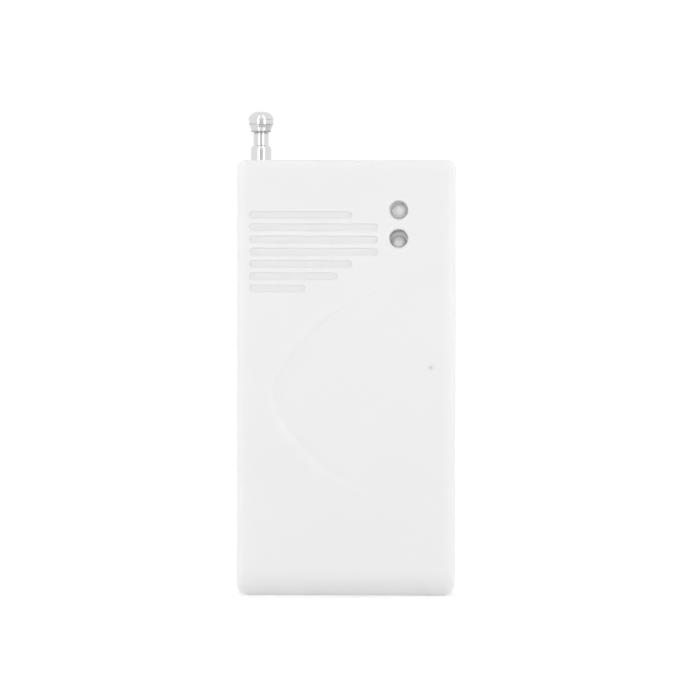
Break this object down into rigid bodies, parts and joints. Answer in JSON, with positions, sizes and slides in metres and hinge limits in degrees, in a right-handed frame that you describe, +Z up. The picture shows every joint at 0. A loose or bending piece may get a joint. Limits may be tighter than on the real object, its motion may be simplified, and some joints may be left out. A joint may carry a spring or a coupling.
{
  "type": "wireless door window sensor",
  "caption": "Slim white battery powered door and window sensor transmitter with two indicator lamps, a sliding battery door and a telescopic plated antenna, shown retracted.",
  "frame": {"origin": "middle of the flat back face, which is stuck or screwed to a door or frame", "axes": "+Z up along the case and the antenna, +Y out of the back face into the wall, +X to the right seen from the front"},
  "size_m": [0.0358, 0.0175, 0.0791],
  "materials": {
    "case_white": "white moulded ABS, fine satin",
    "door_white": "white moulded ABS, fine satin",
    "antenna_plating": "bright nickel plate",
    "knob_plating": "bright nickel plate",
    "brass_bush": "turned brass",
    "screw_steel": "zinc plated steel",
    "contact_steel": "nickel plated spring strip",
    "board_green": "solder mask on glass fibre board",
    "battery_wrap": "plain foil wrap",
    "lamp_resin": "clear cast resin",
    "lead_metal": "tinned lead frame",
    "black_epoxy": "moulded epoxy",
    "can_metal": "plated can",
    "choke_coat": "dipped coating",
    "capacitor_sleeve": "shrink sleeve",
    "chip_ceramic": "fired ceramic",
    "capacitor_ceramic": "fired ceramic",
    "header_black": "moulded nylon",
    "pin_brass": "plated square pin",
    "reed_glass": "clear glass"
  },
  "bodies": {
    "case": {"front_cover": "case_white", "back_cover": "case_white", "circuit_board": "board_green", "battery": "battery_wrap", "positive_contact": "contact_steel", "negative_contact": "contact_steel", "battery_spring": "contact_steel", "upper_lamp_leads": "lead_metal", "upper_lamp_lens": "lamp_resin", "lower_lamp_leads": "lead_metal", "lower_lamp_lens": "lamp_resin", "antenna_case_tube": "antenna_plating", "antenna_base_lug": "antenna_plating", "case_screws": "screw_steel", "board_screws": "screw_steel", "antenna_screw": "screw_steel", "encoder_chip": "black_epoxy", "code_header_pins": "pin_brass", "code_header_base": "header_black", "code_jumpers": "header_black", "saw_resonator": "can_metal", "rf_transistor": "black_epoxy", "smoothing_capacitor": "capacitor_sleeve", "rf_choke": "choke_coat", "chip_resistors": "chip_ceramic", "ceramic_capacitors": "capacitor_ceramic", "reed_capsule": "reed_glass", "reed_leads": "lead_metal"},
    "battery_door": {"battery_door": "door_white"},
    "antenna_lower": {"antenna_lower_section": "antenna_plating", "antenna_lower_bush": "brass_bush"},
    "antenna_upper": {"antenna_upper_section": "antenna_plating", "antenna_upper_bush": "brass_bush"},
    "antenna_tip": {"antenna_rod": "antenna_plating", "antenna_rod_bush": "brass_bush", "antenna_knob": "knob_plating"}
  },
  "joints": [
    {"name": "antenna_lower_slide", "type": "slide", "parent": "case", "child": "antenna_lower", "axis": [0, 0, 1], "range_m": [0, 0.049]},
    {"name": "antenna_upper_slide", "type": "slide", "parent": "antenna_lower", "child": "antenna_upper", "axis": [0, 0, 1], "range_m": [0, 0.049]},
    {"name": "antenna_tip_slide", "type": "slide", "parent": "antenna_upper", "child": "antenna_tip", "axis": [0, 0, 1], "range_m": [0, 0.047]},
    {"name": "battery_door_slide", "type": "slide", "parent": "case", "child": "battery_door", "axis": [0, 0, -1], "range_m": [0, 0.036]}
  ]
}
